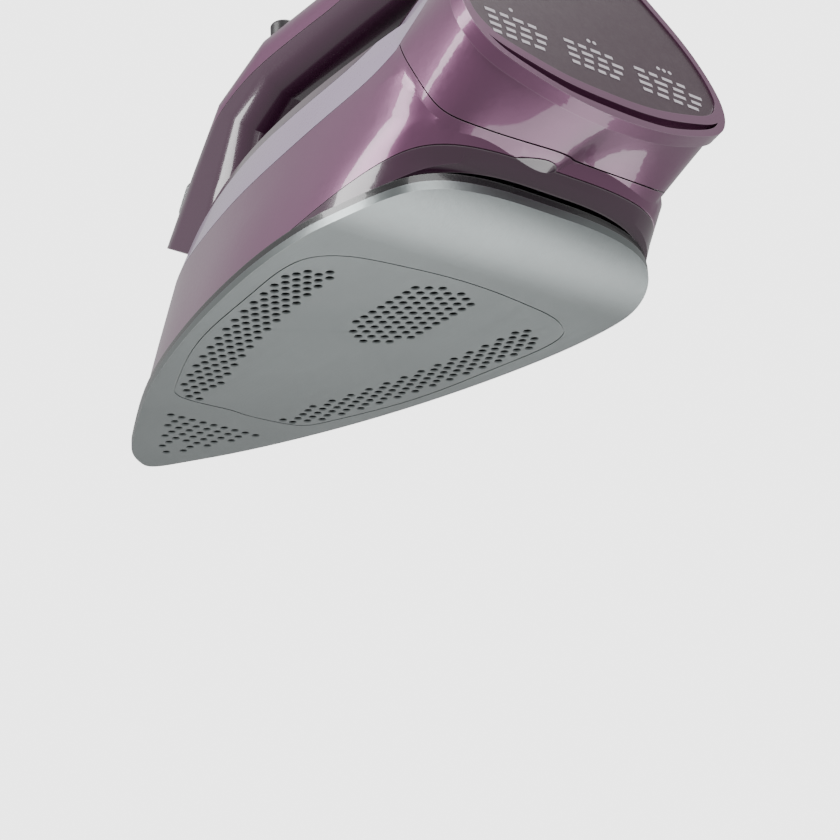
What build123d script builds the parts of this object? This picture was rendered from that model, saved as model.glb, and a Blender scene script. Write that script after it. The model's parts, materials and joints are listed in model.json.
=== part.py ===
import os
from math import cos, radians, sin

from build123d import *

os.makedirs("parts", exist_ok=True)

# Steam iron standing on its soleplate: +Z up, tip along -Y, heel along +Y, its left side +X. Millimetres.

# ---- driving dimensions -------------------------------------------------------------------
heel_y = 131.0            # rearmost edge of the heel
heel_z = 24.0             # height of that edge above the ironing surface
heel_lean = 17.5          # the heel face leans forward by this many degrees
sole_thick = 2.6          # pressed soleplate
curl_y = 64.0             # behind this line the soleplate curls up
curl_r = 74.0             # radius of the curl
rim_top = 5.2             # top of the black rim between soleplate and housing
wall = 2.4                # moulded housing wall
seam = 0.15               # half width of a moulding line
hole_r = 1.15             # steam hole
lip_r = 1.5               # steam hole mouth
pitch = 4.4               # steam hole pitch
dial_y = 24.0             # centre of the temperature dial
dial_r = 24.0
deck_z = 72.0             # flat top of the tank, under the handle

lean = radians(heel_lean)
side = Plane(origin=(0, 0, 0), x_dir=(0, 1, 0), z_dir=(1, 0, 0))
heel = Plane(origin=(0, heel_y, heel_z), x_dir=(-1, 0, 0), z_dir=(0, cos(lean), sin(lean)))

# ---- half outlines: nose or lowest point first, tail or highest point last --------------------
sole_half = [(0, -131), (10.2, -122.8), (18.9, -108.5), (32, -82), (49, -34), (58.6, 9), (62.4, 49), (59.3, 72), (48.6, 88.5), (30, 95), (0, 96.3)]
low_levels = [
    (2, [(0, -129), (9.8, -120.3), (18.2, -106), (30.5, -81.8), (47, -33.5), (57, 9), (60.4, 45), (57.2, 72), (46, 87), (28, 91.5), (0, 92.5)]),
    (14, [(0, -125), (9.6, -115.8), (17.6, -102), (29, -80), (45, -33.5), (55.2, 9), (58.6, 45), (57, 74), (48.5, 91), (28, 98.5), (0, 99.5)]),
    (24, [(0, -121.5), (9.4, -111.8), (17, -98), (27.5, -77.5), (43, -33), (53.2, 9), (56.6, 45), (55.6, 76), (49, 97), (29, 106), (0, 107)]),
    (44, [(0, -110), (9, -100.5), (16, -88), (24.8, -71.5), (38.5, -33), (48.4, 9), (51.6, 45), (51.6, 77), (47.5, 98), (28, 107), (0, 108)]),
    (58, [(0, -102), (8.2, -93), (14.4, -81), (21.4, -66), (33.5, -33), (43.6, 9), (47, 45), (47.4, 77), (44, 97), (26, 105), (0, 106)]),
]
top_levels = [
    (56, low_levels[-1][1]),
    (66, [(0, -97), (7.6, -88), (13, -76.5), (18.8, -63), (29.5, -33), (39, 9), (42.5, 45), (43.4, 76), (40, 94), (24, 101), (0, 102)]),
    (deck_z, [(0, -93), (7, -84), (11.4, -73), (16, -60), (22, -33), (29, 9), (33, 45), (35, 75), (32, 90), (20, 96), (0, 97)]),
]
heel_levels = [
    (-62, [(0, 7), (30, 8), (42.5, 11), (47, 18), (48.5, 28), (46.5, 42), (41, 54), (33, 67), (23, 80), (12, 88.5), (0, 91)]),
    (-30, [(0, 4.5), (32, 5.2), (44.5, 8.5), (49, 16.5), (50.5, 27), (49.5, 40), (44.5, 52), (36, 66), (24.5, 81), (13, 90.5), (0, 93)]),
    (0, [(0, 1.5), (20, 3.5), (36, 8.4), (46.5, 14.5), (51, 23.5), (51.3, 31), (49.5, 40), (46, 49.5), (38, 63), (26, 80), (13, 91.5), (0, 94.5)]),
]
heel_half = heel_levels[-1][1]
panel_half = [(0, 10.5), (18, 11.5), (35, 15.6), (45.5, 20.3), (49.8, 27), (50, 32), (48.3, 40.2), (44.6, 49.3), (36.4, 62.8), (24.2, 79.5), (12, 90), (0, 92.5)]


def pull_in(half, amount):
    """Half outline moved inwards along its own normals."""
    moved = []
    last = len(half) - 1
    for index, (x, y) in enumerate(half):
        ahead = half[min(index + 1, last)]
        behind = half[max(index - 1, 0)]
        run_x = ahead[0] - behind[0]
        run_y = ahead[1] - behind[1]
        if index in (0, last):
            run_x, run_y = (1, 0) if index == 0 else (-1, 0)
        length = (run_x**2 + run_y**2) ** 0.5
        moved.append((x - amount * run_y / length, y + amount * run_x / length))
    return moved


def outline(half, inset=0.0):
    """Closed face on one smooth curve through a half outline and its mirror image."""
    right = pull_in(half, inset)
    left = [(-x, y) for x, y in reversed(right[1:-1])]
    with BuildSketch() as face:
        with BuildLine():
            Spline(*right, *left, periodic=True)
        make_face()
    return face.sketch


def prism(half, inset, low, high):
    """Upright solid on an outline between two heights."""
    with BuildPart() as solid:
        with BuildSketch(Plane.XY.offset(low)):
            add(outline(half, inset))
        extrude(amount=high - low)
    return solid.part


def levels(table, inset=0.0):
    """Solid lofted through a table of horizontal outlines."""
    with BuildPart() as solid:
        for height, half in table:
            with BuildSketch(Plane.XY.offset(height)):
                add(outline(half, inset))
        loft(ruled=True)
    return solid.part


def heel_loft(inset=0.0):
    """Solid lofted through outlines parallel to the heel face."""
    with BuildPart() as solid:
        for depth, half in heel_levels:
            with BuildSketch(heel.offset(depth - inset)):
                add(outline(half, inset))
        loft(ruled=True)
    return solid.part


def region(points, low_x=-90.0, high_x=90.0):
    """Side view area of straight edges drawn out from one x to another."""
    with BuildPart() as solid:
        with BuildSketch(side.offset(low_x)):
            with BuildLine():
                Polyline(*points, close=True)
            make_face()
        extrude(amount=high_x - low_x)
    return solid.part


def smooth_region(curve, corners, half_x=90.0):
    """Side view area under a smooth curve, closed by straight edges through the corners."""
    with BuildPart() as solid:
        with BuildSketch(side.offset(-half_x)):
            with BuildLine():
                Spline(*curve)
                Polyline(curve[-1], *corners, curve[0])
            make_face()
        extrude(amount=2 * half_x)
    return solid.part


def along(curve, steps=36):
    """Points spaced along the smooth curve through a few given ones."""
    line = Spline(*curve)
    return [((line @ (step / steps)).X, (line @ (step / steps)).Y) for step in range(steps + 1)]


def under_sole(lift):
    """Everything below the soleplate's underside raised by the lift, curl included."""
    reach = radians(34)
    radius = curl_r - lift
    centre = (curl_y, curl_r)
    with BuildPart() as solid:
        with BuildSketch(side.offset(-90)):
            with BuildLine():
                start = Line((-160, lift), (curl_y, lift))
                mid = (centre[0] + radius * sin(reach / 2), centre[1] - radius * cos(reach / 2))
                end = (centre[0] + radius * sin(reach), centre[1] - radius * cos(reach))
                ThreePointArc((curl_y, lift), mid, end)
                Polyline(end, (160, end[1]), (160, -40), (-160, -40), (-160, lift))
            make_face()
        extrude(amount=180)
    return solid.part


def shift(points, dy, dz):
    return [(y + dy, z + dz) for y, z in points]


# ---- the curves that part the mouldings, in the side view (y, z) --------------------------------
stripe_low = [(-150, 40), (-100, 43), (-60, 43.5), (-20, 42), (30, 42), (60, 46), (80, 51), (95, 62), (103, 78), (104, 95), (99, 108)]
stripe_top = [(-150, 52), (-100, 55), (-60, 57.5), (-20, 59.5), (30, 60.5), (52, 62), (72, 67), (86, 76), (94, 88), (97, 98), (96, 108)]
seam_line = [(84, 60), (92, 47), (99, 33.5), (104.5, 23.5), (115, 18.6), (130, 17), (150, 17)]
skirt_line = [(10, 4), (40, 6.4), (62, 9.6), (80, 14), (96, 17.5), (110, 18.5)]

trim_line = [(-104, 57), (-88, 70), (-76, 86), (-63, 101), (-49, 110), (-34, 114.6), (-10, 117), (20, 118.3), (60, 119), (86, 115.5), (112, 106)]
gap_curve = [(-51, deck_z), (-48, 84), (-39.5, 96), (-26, 102.8), (0, 104.6), (35, 106), (60, 106.4), (74, 103.5), (81, 95), (80, 84), (74, 76), (62, deck_z)]
liner_curve = [(-55, 66), (-51, 84), (-42, 98), (-27, 105.3), (0, 107.1), (35, 108.5), (61, 109), (76, 105.6), (83.6, 96), (82.8, 83), (76.6, 73), (68, 66)]
# handle stations: centre (y, z), direction (y, z), thickness, width, corner radius
handle_stations = [
    ((-76, 60), (0.5, 0.866), 43, 37, 13),
    ((-62.5, 86), (0.5, 0.866), 37, 34, 12.5),
    ((-50, 105.7), (0.707, 0.707), 32, 33, 12),
    ((-28, 117), (0.97, 0.24), 28.5, 32, 11.5),
    ((10, 118.8), (0.999, 0.03), 28, 31, 11.5),
    ((50, 120), (1, 0), 28, 33, 11.5),
    ((80, 116.5), (0.94, -0.34), 27, 38, 11.5),
    ((92, 108), (0.8, -0.6), 24, 40, 11),
]


def handle_loft(inset=0.0):
    """Arched grip through its stations."""
    with BuildPart() as solid:
        for (y, z), (dy, dz), thick, width, corner in handle_stations:
            with BuildSketch(Plane(origin=(0, y, z), x_dir=(1, 0, 0), z_dir=(0, dy, dz))):
                RectangleRounded(width - 2 * inset, thick - 2 * inset, corner - inset)
        loft(ruled=True)
    return solid.part


def cylinder(start, direction, radius, length, bore=0.0):
    """Round bar or tube from a point along a direction."""
    with BuildPart() as solid:
        with BuildSketch(Plane(origin=start, z_dir=direction)):
            Circle(radius)
            if bore > 0:
                Circle(bore, mode=Mode.SUBTRACT)
        extrude(amount=length)
    return solid.part


def on_heel(half, inset, start, height):
    """Plate on the heel face, its thickness measured along the face normal."""
    with BuildPart() as solid:
        with BuildSketch(heel.offset(start)):
            add(outline(half, inset))
        extrude(amount=height)
    return solid.part


def save(part, name):
    part.label = name
    export_step(part, f"parts/{name}.step")


# ---- outer body and the hollow inside it ----------------------------------------------------------
full = levels(low_levels) + levels(top_levels) + heel_loft()
outer = full - under_sole(rim_top + seam)
finger_gap = region(along(gap_curve))
liner = smooth_region(liner_curve, [])
hollow_low = levels([(1, low_levels[0][1])] + low_levels[1:], wall)
hollow_top = levels(top_levels[:2] + [(deck_z - 3, top_levels[2][1])], wall)
hollow_rear = heel_loft(wall) - liner
shell = outer - hollow_low - hollow_top - hollow_rear

below_low = smooth_region(shift(stripe_low, 0, -seam), [(180, 108), (180, -20), (-150, -20)])
below_top = smooth_region(shift(stripe_top, 0, -seam), [(180, 108), (180, -20), (-150, -20)])
over_low = smooth_region(shift(stripe_low, 0, seam), [(99, 160), (-150, 160)])
over_top = smooth_region(shift(stripe_top, 0, seam), [(96, 160), (-150, 160)])
behind_seam = smooth_region(shift(seam_line, seam, seam), [(180, 17), (180, 160), (84, 160)])
before_seam = smooth_region(shift(seam_line, -seam, -seam), [(150, -20), (-160, -20), (-160, 60)])
under_skirt = smooth_region(skirt_line, [(180, 18.5), (180, -20), (10, -20)])
over_skirt = smooth_region(shift(skirt_line, 0, 2 * seam), [(180, 18.8), (180, 160), (-160, 160), (-160, 4.3)])
over_trim = smooth_region(shift(trim_line, 0, seam), [(112, 170), (-104, 170)])
under_trim = smooth_region(shift(trim_line, 0, -seam), [(112, 20), (-104, 20)])

with BuildPart() as behind_rim:
    with BuildSketch(heel.offset(-5 - seam)):
        Rectangle(300, 400)
    extrude(amount=60)
with BuildPart() as half_space:
    with BuildSketch(Plane.YZ.offset(0.1)):
        Rectangle(500, 500)
    extrude(amount=120)
left_half = half_space.part

# ---- handle ---------------------------------------------------------------------------------------
button_x = 6.2
button_y = -28.0
button_r = 4.9
button_gap = 0.3
grip = handle_loft() - full
grip = grip - region([(-140, 20), (140, 20), (140, 56), (-140, 56)])
grip_hollow = handle_loft(3.0) - region([(-140, 20), (140, 20), (140, 75), (-140, 75)])
grip_shell = grip - grip_hollow
stem = Plane(origin=(0, -84.2, 86.6), x_dir=(1, 0, 0), z_dir=(0, -0.836, 0.549))
stem_out = stem.z_dir
spout = cylinder(stem.origin - stem_out * 6, stem_out, 6.5, 6.4, 4.6)
spout_room = cylinder(stem.origin - stem_out * 8, stem_out, 6.6, 22)
fill_room = cylinder((0, -75.5, 60), (0, 0, 1), 5.2, 20)
button_room = [cylinder((x, button_y, 118), (0, 0, 1), button_r + button_gap, 20) for x in (-button_x, button_x)]
grip_core = (grip_shell & under_trim) - spout_room - fill_room
gland_slot = region([(71, 126), (90, 124), (90, 150), (71, 150)], -6.6, 6.6)
gland_drum = cylinder((-6.9, 78, 131), (1, 0, 0), 7.0, 13.8)
grip_cover = grip_shell & over_trim
for room in (spout_room, *button_room, gland_slot, gland_drum):
    grip_cover = grip_cover - room

# ---- housings -------------------------------------------------------------------------------------
notch_cut = region([(-86, 31), (-74.5, 37.4), (-78.5, 38.6), (-83.5, 35.4)], -40, 40)
spindle_room = cylinder((0, dial_y, 60), (0, 0, 1), 3.06, 20)
nozzle_room = cylinder((0, -93.4, 62.5), (0, -1, 0), 3.1, 20)
housing_low = (shell & below_low & before_seam & over_skirt) - notch_cut
skirt = shell & under_skirt & before_seam
rear_pieces = (shell & below_low & behind_seam) - finger_gap - behind_rim.part
housing_rear = max(rear_pieces.solids(), key=lambda solid: solid.volume)
band = (shell & over_low & below_top) - finger_gap - behind_rim.part
stripe_left = band & left_half
stripe_right = stripe_left.mirror(Plane.YZ)
deck = (shell & over_top) - finger_gap - behind_rim.part - spindle_room - fill_room - nozzle_room

save(housing_low, "housing_lower")
save(skirt, "housing_skirt")
save(housing_rear, "housing_rear")
save(stripe_left, "stripe_left")
save(stripe_right, "stripe_right")
save(deck, "tank_deck")
save(grip_core, "handle_core")
save(grip_cover, "handle_cover")

# ---- soleplate ----------------------------------------------------------------------------------
hole_places = []
for column, rows in ((0, range(-9, 12, 2)), (1, range(-10, 11, 2)), (2, range(-9, 10, 2)), (3, range(-8, 7, 2))):
    for row in rows:
        for way in ((1, -1) if column else (1,)):
            hole_places.append((way * column * pitch * 0.866, 27 - row * pitch / 2))
tip_rows = [range(-4, 5), range(-3, 4), range(-3, 4), range(-2, 3), range(-2, 3), (-1, 1), (-1, 1), (0,)]
for row, columns in enumerate(tip_rows):
    for column in columns:
        hole_places.append((column * 4.57, -85 - row * 4.4))
for row in range(30):
    y = 38.8 - 3.37 * row - 0.0102 * row**2
    edge = 46.3 + 0.19 * y - 0.00156 * y**2
    shifted = row % 2 == 0
    columns = range(3) if shifted else range(4)
    columns = {0: (2,), 1: (1, 2, 3), 27: (0, 1, 2), 28: (0, 1), 29: (1, 2)}.get(row, columns)
    for column in columns:
        x = edge - (pitch * 0.48 if shifted else 0) - column * pitch * 0.96
        hole_places += [(x, y), (-x, y)]

main_groove = [(0, -70.2), (20, -70), (27, -68), (32.5, -60), (45.8, -26.2), (52.6, 15), (54.4, 34), (52.3, 43.5), (45, 50), (30, 54), (0, 56.8)]
tip_groove = [(0, -76.4), (17, -76.4), (22.4, -77.3), (23.6, -80.5), (18.6, -91.6), (10, -107.8), (3.4, -118.6), (0, -120.3)]
plate_top = under_sole(sole_thick)
plate = prism(sole_half, 0, -1, 14) & plate_top
plate = plate - under_sole(0)
with BuildPart() as groove_cut:
    for half in (main_groove, tip_groove):
        with BuildSketch():
            add(outline(half, -0.25))
            add(outline(half, 0.25), mode=Mode.SUBTRACT)
    extrude(amount=0.3)
with BuildPart() as punch:
    with BuildSketch(Plane.XZ):
        with BuildLine():
            Polyline((0, -1), (lip_r + 0.2, -1), (lip_r, 0), (hole_r, 0.4), (hole_r, 5), (0, 5), (0, -1))
        make_face()
    revolve(axis=Axis.Z)
sole = plate - groove_cut.part
sole = sole - [Pos(x, y, 0) * punch.part for x, y in hole_places]
save(sole, "soleplate")

# ---- rim, steam chamber and heater under the housing ----------------------------------------------
rim = (prism(sole_half, 0.5, 1, 16) - prism(sole_half, 5.0, 0, 17)) & under_sole(rim_top)
rim = rim - under_sole(sole_thick)
save(rim, "sole_rim")
front_room = region([(-140, -5), (56, -5), (56, 60), (-140, 60)])
element = cylinder((26, 52, 10.4), (0, -1, 0), 3.2, 92) + cylinder((-26, 52, 10.4), (0, -1, 0), 3.2, 92)
with BuildPart() as bend:
    with BuildSketch(Plane(origin=(26, -40, 10.4), z_dir=(0, 1, 0))):
        Circle(3.2)
    revolve(axis=Axis((0, -40, 0), (0, 0, 1)), revolution_arc=180)
bend_part = bend.part if bend.part.bounding_box().min.Y < -50 else bend.part.mirror(Plane.XZ.offset(40))
element = element + bend_part
chamber = prism(sole_half, 9, sole_thick, 14) & front_room
chamber = chamber - prism(sole_half, 13, sole_thick, 6.4) - element
cover = prism(sole_half, 11, 14, 15.2) & region([(-140, 0), (50, 0), (50, 40), (-140, 40)])
screw_places = [(0, -92), (34, -30), (-34, -30), (40, 36), (-40, 36)]
for x, y in screw_places:
    chamber = chamber - Pos(x, y, 11) * Cylinder(1.5, 12)
    cover = cover - Pos(x, y, 14) * Cylinder(1.6, 6)
steam_port = cylinder((0, -30, 10), (0, 0, 1), 3.0, 10)
chamber = chamber - steam_port
cover = cover - steam_port
save(chamber, "steam_chamber")
save(cover, "chamber_cover")
save(element, "heating_element")
with BuildPart() as screws:
    with Locations(*[(x, y, 12.2) for x, y in screw_places]):
        Cylinder(1.42, 6)
    with Locations(*[(x, y, 16.2) for x, y in screw_places]):
        Cylinder(3, 2)
        Cylinder(1.3, 2.2, mode=Mode.SUBTRACT)
save(screws.part, "chamber_screws")
thermostat = Pos(0, dial_y, 20.2) * Box(26, 20, 10)
thermostat = thermostat - cylinder((0, dial_y, 18), (0, 0, 1), 3.1, 20)
save(thermostat, "thermostat")
save(Pos(27, -4, 17.2) * Box(8, 22, 4), "thermal_fuse")

# ---- water tank -----------------------------------------------------------------------------------
tank_table = [(32, low_levels[2][1]), (44, low_levels[3][1]), (57, low_levels[4][1]), (66, top_levels[1][1])]
tank_in_table = [(34, low_levels[2][1]), (44, low_levels[3][1]), (57, low_levels[4][1]), (64, top_levels[1][1])]
tank_front = region([(-104, 0), (58, 0), (58, 140), (-104, 140)])
tank_room = region([(-102, 0), (56, 0), (56, 140), (-102, 140)])
tank = levels(tank_table, wall + 4) & tank_front
tank = tank - (levels(tank_in_table, wall + 6) & tank_room)
tank = tank + cylinder((0, dial_y, 33), (0, 0, 1), 6, 32)
tank = tank - cylinder((0, dial_y, 20), (0, 0, 1), 4, 60) - cylinder((0, -75.5, 60), (0, 0, 1), 4.2, 20)
tank = tank - cylinder((0, -30, 28), (0, 0, 1), 2.2, 10)
save(tank, "water_tank")
save(cylinder((0, -75.5, 66.1), (0, 0, 1), 5.0, 10, 4.2), "fill_tube")
drip = cylinder((0, -30, 15.4), (0, 0, 1), 4.5, 16.4, 1.56)
save(drip, "drip_guide")
needle = cylinder((0, -30, 12), (0, 0, 1), 1.5, 24)
needle = needle + cylinder((0, -30, 36), (0, 0, 1), 2.6, 3)
save(needle, "valve_needle")

# ---- temperature dial -----------------------------------------------------------------------------
with BuildPart() as knob:
    with BuildSketch(Plane(origin=(0, dial_y, deck_z + 0.4))):
        Circle(dial_r)
        with PolarLocations(dial_r + 0.6, 36):
            Circle(1.4, mode=Mode.SUBTRACT)
    extrude(amount=8)
    with BuildSketch(Plane(origin=(0, dial_y, deck_z + 7.6))):
        with Locations((0, dial_r - 7)):
            SlotOverall(7, 1.6, rotation=90)
    extrude(amount=3, mode=Mode.SUBTRACT)
    with BuildSketch(Plane(origin=(0, dial_y, deck_z + 0.4))):
        Circle(dial_r - 3)
        Circle(6, mode=Mode.SUBTRACT)
    extrude(amount=5, mode=Mode.SUBTRACT)
save(knob.part, "dial_knob")
save(cylinder((0, dial_y, 22), (0, 0, 1), 3.0, deck_z + 0.4 - 22), "dial_spindle")
save(cylinder((0, dial_y, deck_z), (0, 0, 1), dial_r + 3.4, 0.8, dial_r + 0.6), "dial_scale")

# ---- buttons, pump and nozzle ----------------------------------------------------------------------
for x, name in ((button_x, "spray"), (-button_x, "steam")):
    with BuildPart() as button:
        with Locations((x, button_y, 127.8)):
            Cylinder(button_r, 13.6)
        fillet(button.edges().sort_by(Axis.Z)[-1], 1.2)
        with Locations((x, button_y, 121.8)):
            Cylinder(button_r + 0.5, 1.6)
    save(button.part, f"{name}_button")
    with BuildPart() as coil:
        with BuildLine():
            turns = Helix(pitch=1.85, height=7.4, radius=3)
        with BuildSketch(Plane(origin=turns @ 0, z_dir=turns % 0)):
            Circle(0.4)
        sweep(is_frenet=True)
    save(Pos(x, button_y, 113.1) * coil.part, f"{name}_spring")
save(Pos(0, button_y, 110.45) * Box(18, 14, 4.5), "pump_block")
save(cylinder((0, -94, 62.5), (0, -1, 0), 3.0, 7, 0.6), "spray_nozzle")

# ---- fill opening and its clear door ----------------------------------------------------------------
save(spout, "fill_spout")
lid_h = 16.0
with BuildPart() as lid:
    with BuildSketch(stem.offset(1.3)):
        RectangleRounded(19, lid_h, 4)
    extrude(amount=5.5)
    with BuildSketch(stem.offset(1.3)):
        RectangleRounded(16.4, lid_h - 2.6, 3)
    extrude(amount=4.2, mode=Mode.SUBTRACT)
    fillet(lid.faces().sort_by(Axis((0, 0, 0), stem_out))[-1].edges(), 1.0)
hinge_at = stem.from_local_coords(Vector(0, -lid_h / 2 - 2.0, 2.2))
hy = hinge_at.Y
hz = hinge_at.Z
knuckle = cylinder((-4, hy, hz), (1, 0, 0), 1.6, 8)
with BuildPart() as link:
    with BuildSketch(stem.offset(1.5)):
        with Locations((0, -lid_h / 2 - 0.7)):
            Rectangle(8, 2.6)
    extrude(amount=2)
door = lid.part + link.part + knuckle - cylinder((-12, hy, hz), (1, 0, 0), 0.96, 24)
save(door, "fill_door")
save(cylinder((-7.5, hy, hz), (1, 0, 0), 0.9, 15), "door_pin")
lugs = Part()
for x in (-7.6, 4.6):
    ear = cylinder((x, hy, hz), (1, 0, 0), 1.5, 3)
    foot = Pos(x + 1.5, hy + 1.4, hz - 1.2) * Box(3, 3.0, 2.8)
    lugs = lugs + ear + foot
lugs = lugs - cylinder((-12, hy, hz), (1, 0, 0), 0.9, 24) - grip_core - grip_cover
save(lugs, "door_lugs")

# ---- heel -----------------------------------------------------------------------------------------
heel_ring = on_heel(heel_half, -1.7, -5, 5) - on_heel(panel_half, -0.15, -6, 12)
slot = on_heel(panel_half, -7.2, -3, 6) - on_heel(panel_half, -3.7, -4, 8)
slot = slot & on_heel(heel_half, 1.0, -4, 8)
with BuildPart() as slot_zone:
    with BuildSketch(heel.offset(-4)):
        with Locations((0, 4)):
            Rectangle(94, 27)
    extrude(amount=8)
heel_ring = heel_ring - (slot & slot_zone.part)
save(heel_ring, "heel_rim")
save(on_heel(panel_half, 0, -4.4, 3.8), "heel_panel")
with BuildPart() as dots:
    with BuildSketch(heel.offset(-0.6)):
        with Locations((-32.6, 33.4), (-1.2, 33.6), (1.2, 33.6), (28.4, 33.8), (30.9, 33.8), (33.4, 33.8)):
            Circle(0.75)
    extrude(amount=0.12)
save(dots.part, "care_dots")
with BuildPart() as bars:
    with BuildSketch(heel.offset(-0.6)):
        for left, rows in ((-44.5, (22, 25, 24, 22)), (-13.3, (22, 25, 24, 21)), (15.8, (24, 30, 29, 26))):
            for row, length in enumerate(rows):
                step = length / 4
                for word in range(4):
                    with Locations((left + step * (word + 0.45), 29.4 - 3.0 * row)):
                        Rectangle(step * (0.72 - 0.14 * ((word + row) % 2)), 1.3)
    extrude(amount=0.12)
save(bars.part, "care_bars")

# ---- cord entry at the rear of the handle ------------------------------------------------------------
pivot = (0, 78, 131)
gland_dir = Vector(0, 0.26, 0.966)
gland = Pos(*pivot) * Sphere(6.6) + cylinder(pivot, gland_dir, 5.2, 24)
gland = gland + cylinder((0, 78 + 0.26 * 12, 131 + 0.966 * 12), gland_dir, 6.0, 2)
gland = gland + cylinder((0, 78 + 0.26 * 17, 131 + 0.966 * 17), gland_dir, 5.7, 2)
gland = gland - cylinder((0, 78 - 0.26 * 8, 131 - 0.966 * 8), gland_dir, 3.4, 40)
save(gland, "cord_gland")
save(Pos(0, 66, 113.5) * Box(16, 10, 5), "terminal_block")
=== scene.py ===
# %% [markdown]
# # A steam iron, from CAD frame to finished picture
# The solid model gives the shapes, their places and their joints. This scene dresses it: materials made
# of nodes, a few small pieces made with bmesh, soft studio light, and a camera low beside the soleplate.

import json
import math

import bmesh
import bpy
from mathutils import Matrix, Vector


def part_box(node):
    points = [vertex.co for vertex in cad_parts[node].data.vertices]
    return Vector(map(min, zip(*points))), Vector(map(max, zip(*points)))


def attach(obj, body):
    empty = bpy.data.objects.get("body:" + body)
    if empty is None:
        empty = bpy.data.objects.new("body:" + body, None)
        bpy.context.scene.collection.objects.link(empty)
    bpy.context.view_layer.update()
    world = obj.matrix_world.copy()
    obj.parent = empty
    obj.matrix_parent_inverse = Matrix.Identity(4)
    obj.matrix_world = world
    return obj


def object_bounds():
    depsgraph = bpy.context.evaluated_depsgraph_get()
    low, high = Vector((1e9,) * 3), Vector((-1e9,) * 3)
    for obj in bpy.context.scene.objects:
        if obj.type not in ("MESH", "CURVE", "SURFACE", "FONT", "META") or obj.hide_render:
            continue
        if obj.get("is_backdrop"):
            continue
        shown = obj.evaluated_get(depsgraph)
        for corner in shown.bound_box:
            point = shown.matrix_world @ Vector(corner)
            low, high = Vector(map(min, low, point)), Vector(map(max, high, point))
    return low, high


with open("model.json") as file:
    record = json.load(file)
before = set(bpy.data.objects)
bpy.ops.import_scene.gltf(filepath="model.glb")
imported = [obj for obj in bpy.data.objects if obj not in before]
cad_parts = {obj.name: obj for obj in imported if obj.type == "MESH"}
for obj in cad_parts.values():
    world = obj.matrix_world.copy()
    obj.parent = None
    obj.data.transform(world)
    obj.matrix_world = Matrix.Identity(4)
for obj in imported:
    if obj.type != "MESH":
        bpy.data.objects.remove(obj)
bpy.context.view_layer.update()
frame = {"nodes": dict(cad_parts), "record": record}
nodes = frame["nodes"]

# %% [markdown]
# ## Smooth skins over the CAD meshes
# A moulded shell reaches Blender as strips of faces. Welding their shared edges, splitting only the sharp
# ones, and weighting the normals by area makes the strips read as one curved surface. All three are
# modifiers, so the vertices under them stay as they were made.

# %% Shading modifiers
WELD_GAP = 0.00002
SHARP_ANGLE = 28


def shade(obj, angle):
    weld = obj.modifiers.new("weld", "WELD")
    weld.merge_threshold = WELD_GAP
    split = obj.modifiers.new("split", "EDGE_SPLIT")
    split.split_angle = math.radians(angle)
    split.use_edge_sharp = False
    weighted = obj.modifiers.new("weighted", "WEIGHTED_NORMAL")
    weighted.weight = 60


moulded = [
    "housing_lower", "housing_skirt", "housing_rear", "stripe_left", "stripe_right",
    "tank_deck", "handle_core", "handle_cover", "sole_rim", "heel_rim",
]
for name in moulded:
    shade(nodes[name], SHARP_ANGLE)
print("smoothed:", len(moulded))

# %% [markdown]
# ## Shared effects as node groups
# Each effect is built once and used by many materials. Groups here put out a value or a colour only, and
# the shader that uses it stays in the material, so one group can serve plastic and metal alike.

# %% Group helpers
def new_group(name, inputs, outputs):
    group = bpy.data.node_groups.new(name, "ShaderNodeTree")
    for label, kind, value in inputs:
        sock = group.interface.new_socket(label, in_out="INPUT", socket_type=kind)
        sock.default_value = value
    for label, kind in outputs:
        group.interface.new_socket(label, in_out="OUTPUT", socket_type=kind)
    return group, group.nodes.new("NodeGroupInput"), group.nodes.new("NodeGroupOutput")


def math_node(tree, operation, a, b):
    node = tree.nodes.new("ShaderNodeMath")
    node.operation = operation
    for index, value in enumerate((a, b)):
        if isinstance(value, (int, float)):
            node.inputs[index].default_value = value
        else:
            tree.links.new(value, node.inputs[index])
    return node.outputs[0]


def noise(tree, vector, scale, detail=4.0, rough=0.5):
    node = tree.nodes.new("ShaderNodeTexNoise")
    node.inputs["Detail"].default_value = detail
    node.inputs["Roughness"].default_value = rough
    if isinstance(scale, (int, float)):
        node.inputs["Scale"].default_value = scale
    else:
        tree.links.new(scale, node.inputs["Scale"])
    tree.links.new(vector, node.inputs["Vector"])
    return node.outputs["Fac"]


# %% [markdown]
# **Grain** is fine noise for moulded plastic. **Brushed** squeezes noise across one direction, so that it
# reads as long thin lines. **Dust** gathers on faces that look up. **Wear** is found from the gap between
# the true normal and a bevelled one, which opens only along edges.

# %% Build the groups
grain, grain_in, grain_out = new_group(
    "grain",
    [("Vector", "NodeSocketVector", (0, 0, 0)), ("Scale", "NodeSocketFloat", 900.0)],
    [("Value", "NodeSocketFloat")],
)
fine = noise(grain, grain_in.outputs["Vector"], grain_in.outputs["Scale"], 6.0, 0.6)
broad = noise(grain, grain_in.outputs["Vector"], 35.0, 3.0)
fine_share = math_node(grain, "MULTIPLY", fine, 0.75)
broad_share = math_node(grain, "MULTIPLY", broad, 0.25)
mixed = math_node(grain, "ADD", fine_share, broad_share)
grain.links.new(mixed, grain_out.inputs["Value"])

brushed, brushed_in, brushed_out = new_group(
    "brushed",
    [("Vector", "NodeSocketVector", (0, 0, 0)), ("Stretch", "NodeSocketVector", (1500, 12, 1500))],
    [("Value", "NodeSocketFloat")],
)
stretch = brushed.nodes.new("ShaderNodeVectorMath")
stretch.operation = "MULTIPLY"
brushed.links.new(brushed_in.outputs["Vector"], stretch.inputs[0])
brushed.links.new(brushed_in.outputs["Stretch"], stretch.inputs[1])
lines = noise(brushed, stretch.outputs[0], 1.0, 5.0, 0.65)
brushed.links.new(lines, brushed_out.inputs["Value"])

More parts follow.
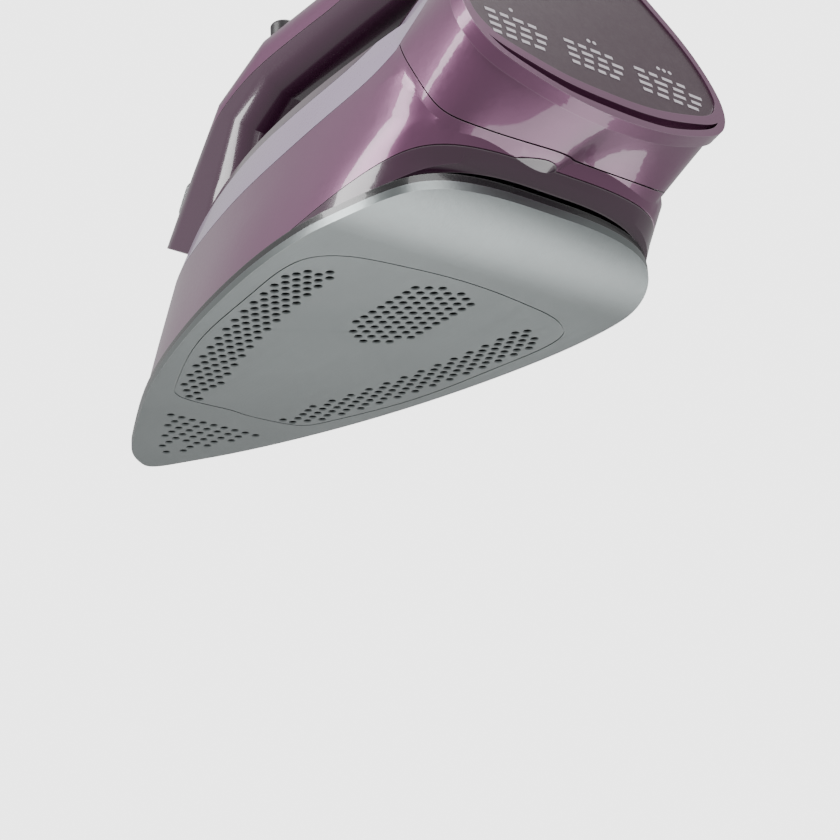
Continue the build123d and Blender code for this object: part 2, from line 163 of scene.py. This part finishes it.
dust, dust_in, dust_out = new_group(
    "dust",
    [("Vector", "NodeSocketVector", (0, 0, 0)), ("Amount", "NodeSocketFloat", 0.2)],
    [("Mask", "NodeSocketFloat")],
)
geometry = dust.nodes.new("ShaderNodeNewGeometry")
parts = dust.nodes.new("ShaderNodeSeparateXYZ")
dust.links.new(geometry.outputs["Normal"], parts.inputs[0])
facing = math_node(dust, "MAXIMUM", parts.outputs["Z"], 0.0)
specks = noise(dust, dust_in.outputs["Vector"], 260.0, 8.0, 0.7)
cover = math_node(dust, "MULTIPLY", math_node(dust, "POWER", specks, 3.0), facing)
dust.links.new(math_node(dust, "MULTIPLY", cover, dust_in.outputs["Amount"]), dust_out.inputs["Mask"])

wear, wear_in, wear_out = new_group(
    "wear",
    [("Vector", "NodeSocketVector", (0, 0, 0)), ("Radius", "NodeSocketFloat", 0.0006)],
    [("Mask", "NodeSocketFloat")],
)
bevel = wear.nodes.new("ShaderNodeBevel")
wear.links.new(wear_in.outputs["Radius"], bevel.inputs["Radius"])
flat = wear.nodes.new("ShaderNodeNewGeometry")
dot = wear.nodes.new("ShaderNodeVectorMath")
dot.operation = "DOT_PRODUCT"
wear.links.new(bevel.outputs[0], dot.inputs[0])
wear.links.new(flat.outputs["Normal"], dot.inputs[1])
edge = math_node(wear, "SUBTRACT", 1.0, dot.outputs["Value"])
patchy = noise(wear, wear_in.outputs["Vector"], 140.0, 5.0)
patches = math_node(wear, "MULTIPLY", edge, patchy)
worn_edges = math_node(wear, "MINIMUM", math_node(wear, "MULTIPLY", patches, 5.0), 1.0)
wear.links.new(worn_edges, wear_out.inputs["Mask"])
print("groups:", [g.name for g in (grain, brushed, dust, wear)])

# %% [markdown]
# ## One builder for the materials
# Every material starts from a base colour that drifts slightly with broad noise, a roughness broken up by
# grain, and a fine bump. Metals add brushed lines, and plastics may take a clear coat.

# %% Material builder
def use(tree, group, vector, **values):
    node = tree.nodes.new("ShaderNodeGroup")
    node.node_tree = group
    tree.links.new(vector, node.inputs["Vector"])
    for key, value in values.items():
        node.inputs[key].default_value = value
    return node.outputs[0]


def tint(tree, factor, low, high):
    """Mixes two colours by a factor; when high is a socket, low is laid over it."""
    node = tree.nodes.new("ShaderNodeMix")
    node.data_type = "RGBA"
    node.inputs[6].default_value = (*low, 1)
    if hasattr(high, "is_linked"):
        tree.links.new(high, node.inputs[6])
        node.inputs[7].default_value = (*low, 1)
    else:
        node.inputs[7].default_value = (*high, 1)
    tree.links.new(factor, node.inputs[0])
    return node.outputs[2]


def ramp(tree, value, low, high):
    node = tree.nodes.new("ShaderNodeMapRange")
    node.inputs["To Min"].default_value = low
    node.inputs["To Max"].default_value = high
    tree.links.new(value, node.inputs["Value"])
    return node.outputs[0]


def make(
    name, colour, rough, metal=0.0, coat=0.0, stretch=None, bump=0.02,
    dusty=0.25, worn=0.2, drift=0.12, clear=0.0, grain_scale=900.0,
):
    mat = bpy.data.materials.new(name)
    mat.use_nodes = True
    tree = mat.node_tree
    shader = tree.nodes["Principled BSDF"]
    place = tree.nodes.new("ShaderNodeTexCoord").outputs["Object"]
    dark = tuple(c * (1 - drift) for c in colour)
    light = tuple(min(1.0, c * (1 + drift)) for c in colour)
    base = tint(tree, noise(tree, place, 18.0, 3.0), dark, light)
    worn_mask = math_node(tree, "MULTIPLY", use(tree, wear, place), worn)
    pale = tuple(0.5 * c + 0.4 for c in colour)
    base = tint(tree, worn_mask, pale, base)
    dust_mask = use(tree, dust, place, Amount=dusty)
    base = tint(tree, dust_mask, (0.62, 0.6, 0.58), base)
    tree.links.new(base, shader.inputs["Base Color"])
    if stretch:
        texture = use(tree, brushed, place, Stretch=stretch)
    else:
        texture = use(tree, grain, place, Scale=grain_scale)
    tree.links.new(ramp(tree, texture, rough * 0.75, min(1.0, rough * 1.3)), shader.inputs["Roughness"])
    relief = tree.nodes.new("ShaderNodeBump")
    relief.inputs["Strength"].default_value = bump
    relief.inputs["Distance"].default_value = 0.0002
    tree.links.new(texture, relief.inputs["Height"])
    tree.links.new(relief.outputs[0], shader.inputs["Normal"])
    shader.inputs["Metallic"].default_value = metal
    shader.inputs["Coat Weight"].default_value = coat
    shader.inputs["Coat Roughness"].default_value = 0.04
    shader.inputs["Transmission Weight"].default_value = clear
    return mat


# %% [markdown]
# ## The iron's materials
# The shell is violet plastic with fine metal flake, so it is part metallic under a clear coat. The sole is
# brushed lengthways. The handle's sides are dark plum, and the heel panel is a satin version of it.

# %% Materials
paint = {
    "violet_gloss": make(
        "violet_gloss", (0.150, 0.050, 0.115), 0.30, metal=0.50, coat=0.7, bump=0.03, dusty=0.05,
    ),
    "plum_gloss": make("plum_gloss", (0.040, 0.010, 0.030), 0.22, coat=0.8, dusty=0.05),
    "lilac_gloss": make("lilac_gloss", (0.36, 0.28, 0.40), 0.28, metal=0.25, coat=0.6),
    "heel_plum": make("heel_plum", (0.036, 0.014, 0.026), 0.42, coat=0.15, bump=0.08),
    "brushed_sole": make(
        "brushed_sole", (0.205, 0.225, 0.225), 0.32, metal=1.0, stretch=(1600, 14, 1600), bump=0.25,
    ),
    "black_trim": make("black_trim", (0.008, 0.008, 0.009), 0.26, coat=0.5),
    "cast_alu": make("cast_alu", (0.55, 0.55, 0.55), 0.5, metal=1.0, bump=0.3, grain_scale=420.0),
    "sheet_steel": make("sheet_steel", (0.5, 0.5, 0.5), 0.35, metal=1.0, stretch=(900, 10, 900)),
    "heater": make("heater", (0.20, 0.17, 0.15), 0.55, metal=0.9, bump=0.2),
    "screw_steel": make("screw_steel", (0.55, 0.55, 0.54), 0.28, metal=1.0, stretch=(700, 700, 20)),
    "ceramic_part": make("ceramic_part", (0.78, 0.75, 0.68), 0.45, bump=0.1),
    "clear_tank": make("clear_tank", (0.80, 0.84, 0.88), 0.08, clear=0.9, worn=0.05),
    "clear_lid": make("clear_lid", (0.88, 0.90, 0.93), 0.07, clear=0.85, worn=0.05, dusty=0.05),
    "brass_valve": make("brass_valve", (0.62, 0.44, 0.17), 0.25, metal=1.0, stretch=(600, 600, 15)),
    "black_plastic": make("black_plastic", (0.018, 0.016, 0.018), 0.38, bump=0.12),
    "rubber_black": make("rubber_black", (0.016, 0.016, 0.017), 0.7, bump=0.25, grain_scale=1300.0),
    "white_print": make("white_print", (0.50, 0.46, 0.50), 0.5, bump=0.15, worn=0.0),
    "spring_steel": make("spring_steel", (0.62, 0.62, 0.63), 0.2, metal=1.0),
}
slots = {row["node"]: row["material_slot"] for row in frame["record"]["subparts"]}
for name, obj in nodes.items():
    obj.data.materials.clear()
    obj.data.materials.append(paint[slots[name]])
print("materials:", len(paint))

# %% [markdown]
# ## Small pieces made with bmesh
# Each piece is a mesh built in the frame's own coordinates with its object at the origin, and it rides on
# the body that carries it, so a pose moves it along.

# %% Piece helpers
def piece(name, mesh, material, body):
    bmesh.ops.recalc_face_normals(mesh, faces=mesh.faces)
    data = bpy.data.meshes.new(name)
    mesh.to_mesh(data)
    mesh.free()
    obj = bpy.data.objects.new(name, data)
    bpy.context.scene.collection.objects.link(obj)
    data.materials.append(paint[material])
    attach(obj, body)
    return obj


def add_box(mesh, centre, size):
    made = bmesh.ops.create_cube(mesh, size=1.0)["verts"]
    bmesh.ops.scale(mesh, vec=size, verts=made)
    bmesh.ops.translate(mesh, vec=centre, verts=made)


def add_disc(mesh, centre, radius, height, segments=32):
    made = bmesh.ops.create_cone(
        mesh, cap_ends=True, segments=segments, radius1=radius, radius2=radius, depth=height
    )["verts"]
    bmesh.ops.translate(mesh, vec=centre, verts=made)


# %% [markdown]
# ### Marks round the dial
# Temperature steps are shown as groups of one, two and three printed dots on the scale ring, with a short
# pointer on the knob. No words are needed to read them.

# %% Dial marks
RING_MARGIN = 0.0014
DOT_RADIUS = 0.0007
DOT_HEIGHT = 0.00012
DOT_SPACING = 5
POINTER_SIZE = (0.0012, 0.0050, 0.0003)

low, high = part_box("dial_scale")
dial_centre = (low + high) / 2
ring_r = (high.x - low.x) / 2 - RING_MARGIN
marks = bmesh.new()
for count, at in ((1, 200), (2, 250), (3, 305)):
    for index in range(count):
        angle = math.radians(at + DOT_SPACING * (index - (count - 1) / 2))
        spot = dial_centre + Vector((ring_r * math.cos(angle), ring_r * math.sin(angle), 0))
        add_disc(marks, (spot.x, spot.y, high.z + 0.00005), DOT_RADIUS, DOT_HEIGHT, 16)
piece("dial_marks", marks, "white_print", "iron")

knob_low, knob_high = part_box("dial_knob")
pointer = bmesh.new()
tip_y = knob_high.y - 0.0052
add_box(pointer, (dial_centre.x, tip_y - 0.0018, knob_high.z - 0.0006), POINTER_SIZE)
piece("dial_pointer", pointer, "white_print", "dial")

# %% [markdown]
# ### Symbols on the buttons
# The spray button carries four tiny dots and the steam button three thin bars.

# %% Button symbols
PRINT_LIFT = 0.00003
DROP_RADIUS = 0.0004
DROP_HEIGHT = 0.0001
BAR_SIZE = (0.0042, 0.0005, 0.0001)
BAR_STEP = 0.0014

for name, body in (("spray_button", "spray"), ("steam_button", "steam")):
    low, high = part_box(name)
    centre = (low + high) / 2
    sign = bmesh.new()
    if body == "spray":
        for dx, dy in ((0, 0.0013), (-0.0014, -0.0006), (0.0014, -0.0006), (0, -0.0022)):
            add_disc(sign, (centre.x + dx, centre.y + dy, high.z + PRINT_LIFT), DROP_RADIUS, DROP_HEIGHT, 12)
    else:
        for row in (-1, 0, 1):
            add_box(sign, (centre.x, centre.y + row * BAR_STEP, high.z + PRINT_LIFT), BAR_SIZE)
    piece(body + "_symbol", sign, "white_print", body)

# %% [markdown]
# ## The setting
# The camera is below the floor, looking up at the soleplate. The floor is therefore only seen from above:
# its back face is transparent, and it casts and reflects nothing onto the iron.

# %% Floor
FLOOR_HALF = 3.0

floor_mesh = bmesh.new()
bmesh.ops.create_grid(floor_mesh, x_segments=1, y_segments=1, size=FLOOR_HALF)
floor_data = bpy.data.meshes.new("floor")
floor_mesh.to_mesh(floor_data)
floor_mesh.free()
floor = bpy.data.objects.new("floor", floor_data)
bpy.context.scene.collection.objects.link(floor)
floor_mat = bpy.data.materials.new("floor")
floor_mat.use_nodes = True
floor_tree = floor_mat.node_tree
floor_shader = floor_tree.nodes["Principled BSDF"]
floor_shader.inputs["Base Color"].default_value = (0.82, 0.82, 0.82, 1)
floor_shader.inputs["Roughness"].default_value = 0.6
side = floor_tree.nodes.new("ShaderNodeNewGeometry")
gone = floor_tree.nodes.new("ShaderNodeBsdfTransparent")
blend = floor_tree.nodes.new("ShaderNodeMixShader")
floor_tree.links.new(side.outputs["Backfacing"], blend.inputs[0])
floor_tree.links.new(floor_shader.outputs[0], blend.inputs[1])
floor_tree.links.new(gone.outputs[0], blend.inputs[2])
floor_tree.links.new(blend.outputs[0], floor_tree.nodes["Material Output"].inputs["Surface"])
floor_data.materials.append(floor_mat)
floor.visible_diffuse = False
floor.visible_glossy = False
floor.visible_transmission = False
floor.visible_shadow = False
floor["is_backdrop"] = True

# %% [markdown]
# ### Light
# The world is near white to the camera and softer to the object. Four soft lamps shape the shell: a key on
# the iron's left, a fill behind the heel, one below for the soleplate, and one above for the handle.

# %% World and lamps
LIGHT_ON_OBJECT = 0.55
LIGHT_TO_CAMERA = 3.5

world = bpy.data.worlds.new("studio")
bpy.context.scene.world = world
world.use_nodes = True
tree = world.node_tree
back = tree.nodes["Background"]
seen = tree.nodes.new("ShaderNodeLightPath")
strength = tree.nodes.new("ShaderNodeMix")
strength.inputs[2].default_value = LIGHT_ON_OBJECT
strength.inputs[3].default_value = LIGHT_TO_CAMERA
tree.links.new(seen.outputs["Is Camera Ray"], strength.inputs[0])
tree.links.new(strength.outputs[0], back.inputs["Strength"])
back.inputs["Color"].default_value = (1, 1, 1, 1)


def lamp(name, place, target, size, power):
    data = bpy.data.lights.new(name, "AREA")
    data.size = size
    data.energy = power
    obj = bpy.data.objects.new(name, data)
    bpy.context.scene.collection.objects.link(obj)
    obj.location = place
    obj.rotation_euler = (Vector(target) - Vector(place)).to_track_quat("-Z", "Y").to_euler()
    obj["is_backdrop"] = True


lamp("key", (0.75, -0.15, 0.35), (0, 0, 0.05), 0.5, 9)
lamp("fill", (0.2, 0.9, 0.25), (0, 0.1, 0.05), 0.7, 6)
lamp("under", (-0.35, -0.3, -0.7), (0, 0, 0), 0.6, 4)
lamp("top", (-0.2, 0, 0.9), (0, 0, 0.08), 0.6, 7)

# %% [markdown]
# ### Camera
# It stands low at the heel's left, looking up and forward, so the whole soleplate and the heel both show.

# %% Camera
LENS_MM = 102.78
CAMERA_PLACE = (0.45225, 0.57152, -0.32299)

camera_data = bpy.data.cameras.new("camera")
camera_data.lens = LENS_MM
camera_data.sensor_width = 36
camera = bpy.data.objects.new("camera", camera_data)
bpy.context.scene.collection.objects.link(camera)
right = Vector((-0.77849, 0.62598, -0.04592))
up = Vector((0.20211, 0.31927, 0.92586))
behind = Vector((0.59423, 0.71149, -0.37507))
turn = Matrix((right, up, behind)).transposed().to_4x4()
camera.matrix_world = Matrix.Translation(CAMERA_PLACE) @ turn
bpy.context.scene.camera = camera

# %% [markdown]
# ## Measure and finish
# The finished model's bounding box is measured and printed. The finished model must
# stay close to the CAD box.

# %% Finish
low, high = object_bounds()
print("visual box:", [round(v, 4) for v in (*low, *high)])
